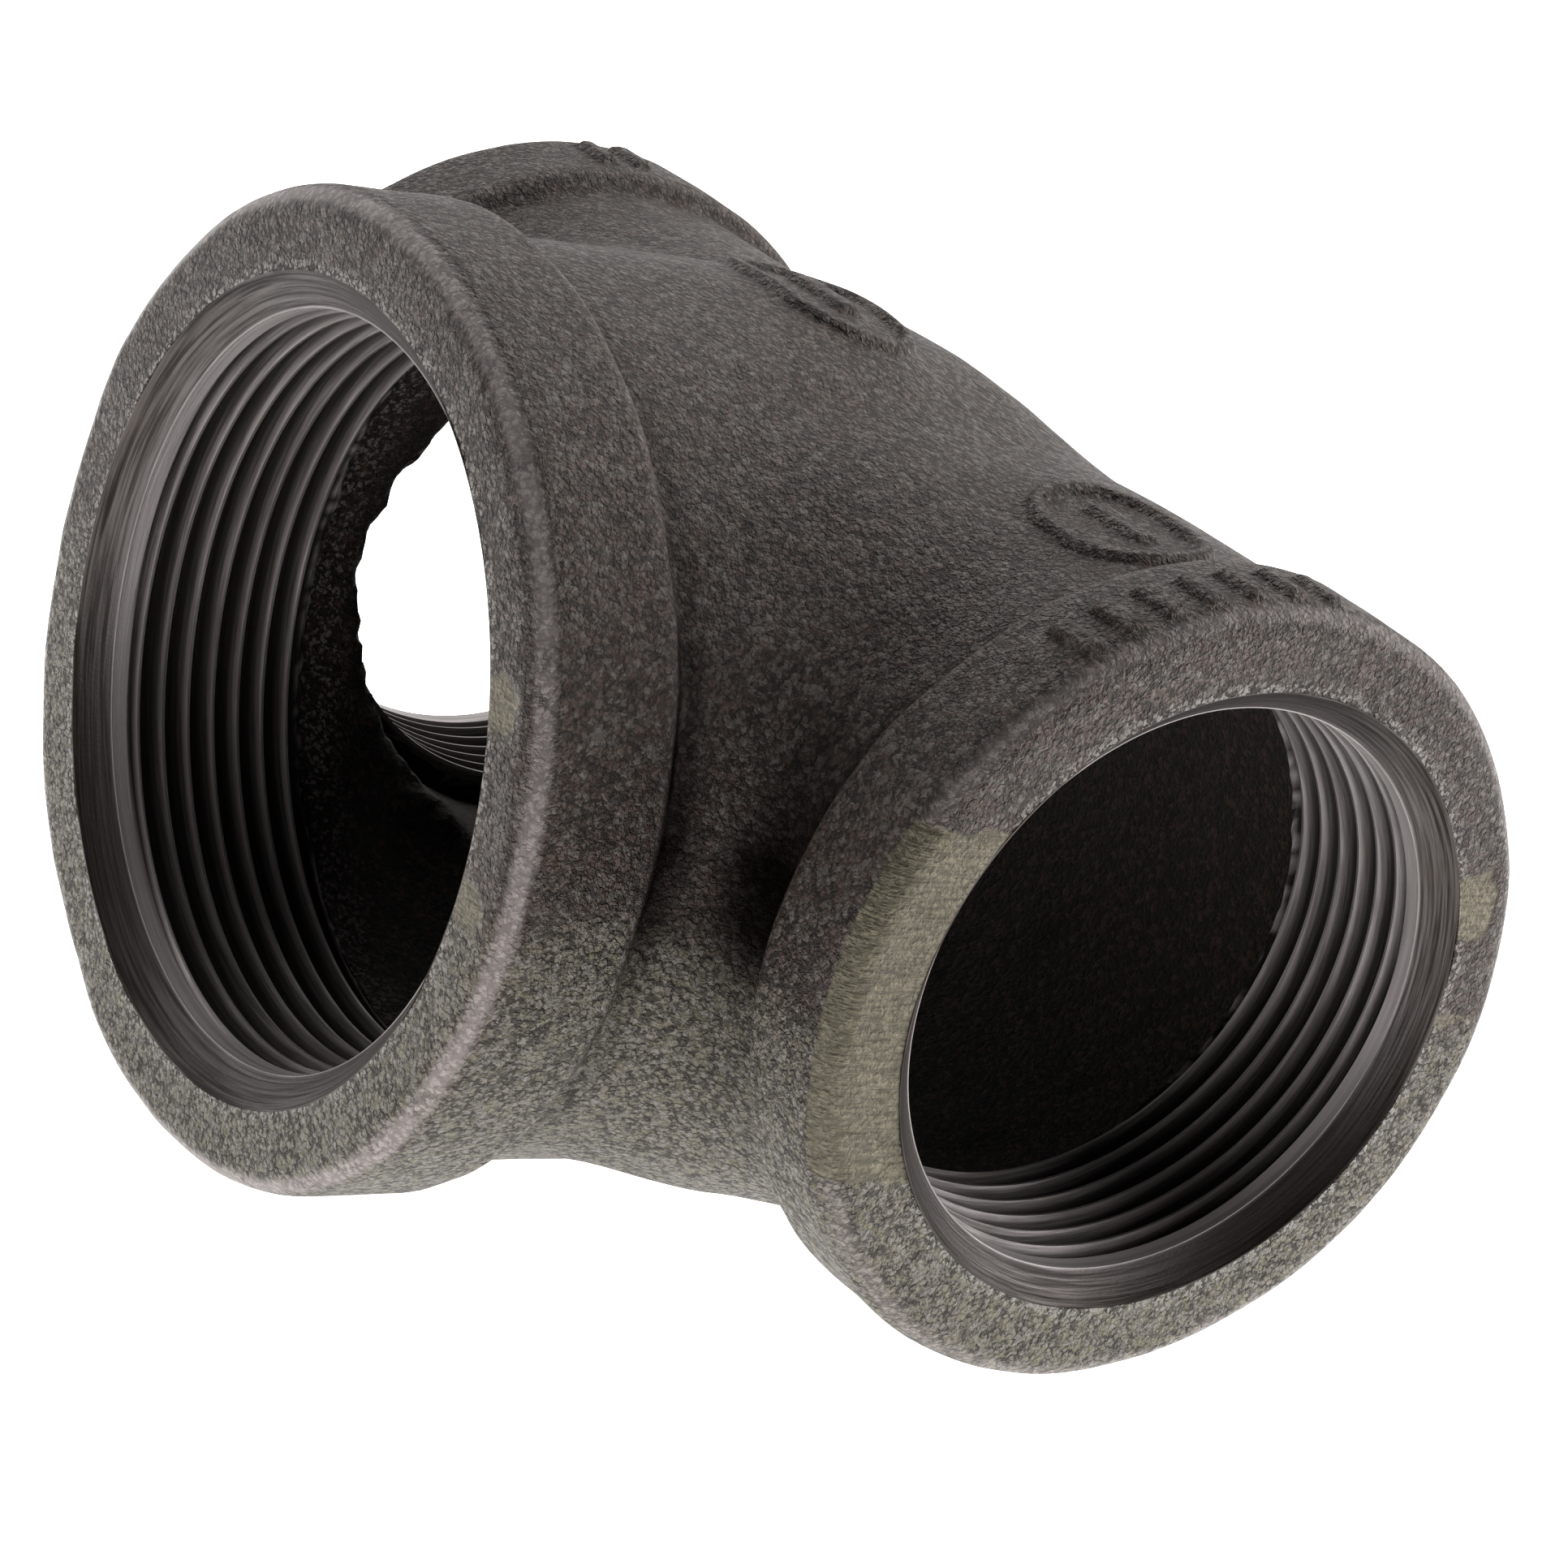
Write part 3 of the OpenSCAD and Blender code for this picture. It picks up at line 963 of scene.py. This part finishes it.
def floor_material():
    material, n, surface = new_material("pale floor")
    where = n.add("TexCoord").outputs["Object"]
    faint = n.noise(where, 40.0, 2.0, 0.5)
    n.join(n.mix(faint, grey(0.80), grey(0.84)), surface.inputs["Base Color"])
    surface.inputs["Roughness"].default_value = 0.9
    surface.inputs["Specular IOR Level"].default_value = 0.1
    # the table glows under and behind the tee, and less towards the camera
    toward = n.add("VectorMath", operation="DOT_PRODUCT")
    n.join(where, toward.inputs[0])
    toward.inputs[1].default_value = (math.sin(view_azimuth), -math.cos(view_azimuth), 0)
    glow = n.spread(toward.outputs["Value"], 0.12, 0.30, 1.0, 0.15)
    n.join(n.mix(glow, grey(0), grey(1)), surface.inputs["Emission Color"])
    surface.inputs["Emission Strength"].default_value = 1.5
    return material


floor_reach = 4
bm = bmesh.new()
bmesh.ops.create_grid(bm, x_segments=1, y_segments=1, size=floor_reach)
floor = mesh_object("floor", bm)
floor.data.materials.append(floor_material())

world = bpy.data.worlds.new("white studio")
bpy.context.scene.world = world
world.use_nodes = True


def shade_the_front(tree, front, dim, full):
    """A white room, dimmer on the side that the front points to."""
    n = Nodes(tree)
    facing = n.add("VectorMath", operation="DOT_PRODUCT")
    n.join(n.add("TexCoord").outputs["Generated"], facing.inputs[0])
    facing.inputs[1].default_value = front
    background = tree.nodes["Background"]
    n.join(n.spread(facing.outputs["Value"], -0.35, 0.4, full, dim), background.inputs["Strength"])
    background.inputs["Color"].default_value = grey(1)


shade_the_front(world.node_tree, (0.77, -0.60, 0.1), 0.02, 0.85)


def softbox(name, azimuth, elevation, size, power):
    """A soft square light that points at the tee."""
    distance = 0.9
    light = bpy.data.lights.new(name, "AREA")
    light.shape = "SQUARE"
    light.size = size
    light.energy = power
    lamp = bpy.data.objects.new(name, light)
    a, e = math.radians(azimuth), math.radians(elevation)
    back = Vector((math.sin(a) * math.cos(e), -math.cos(a) * math.cos(e), math.sin(e)))
    lamp.location = crossing + back * distance
    lamp.rotation_mode = "QUATERNION"
    lamp.rotation_quaternion = back.to_track_quat("Z", "Y")
    bpy.context.scene.collection.objects.link(lamp)


softbox("top softbox", 250, 65, size=1.0, power=6)
softbox("left softbox", -85, 20, size=0.7, power=0.5)
softbox("right softbox", 150, 15, size=0.7, power=9)

view_distance = 384.4 * MM
aim = crossing + Vector((1.63, -0.92, -5.61)) * MM
ahead = Vector((
    -math.sin(view_azimuth) * math.cos(view_elevation),
    math.cos(view_azimuth) * math.cos(view_elevation),
    -math.sin(view_elevation),
))
level = Vector((math.cos(view_azimuth), math.sin(view_azimuth), 0))
upright = level.cross(ahead)
right = math.cos(view_roll) * level + math.sin(view_roll) * upright
up = math.cos(view_roll) * upright - math.sin(view_roll) * level
camera = bpy.data.objects.new("camera", bpy.data.cameras.new("camera"))
camera.data.lens = 110
camera.data.sensor_width = 36
camera.data.clip_start = 0.01
turned = Matrix((right, up, -ahead)).transposed().to_4x4()
camera.matrix_world = Matrix.Translation(aim - ahead * view_distance) @ turned
bpy.context.scene.collection.objects.link(camera)
bpy.context.scene.camera = camera
bpy.context.scene.view_settings.view_transform = "Standard"
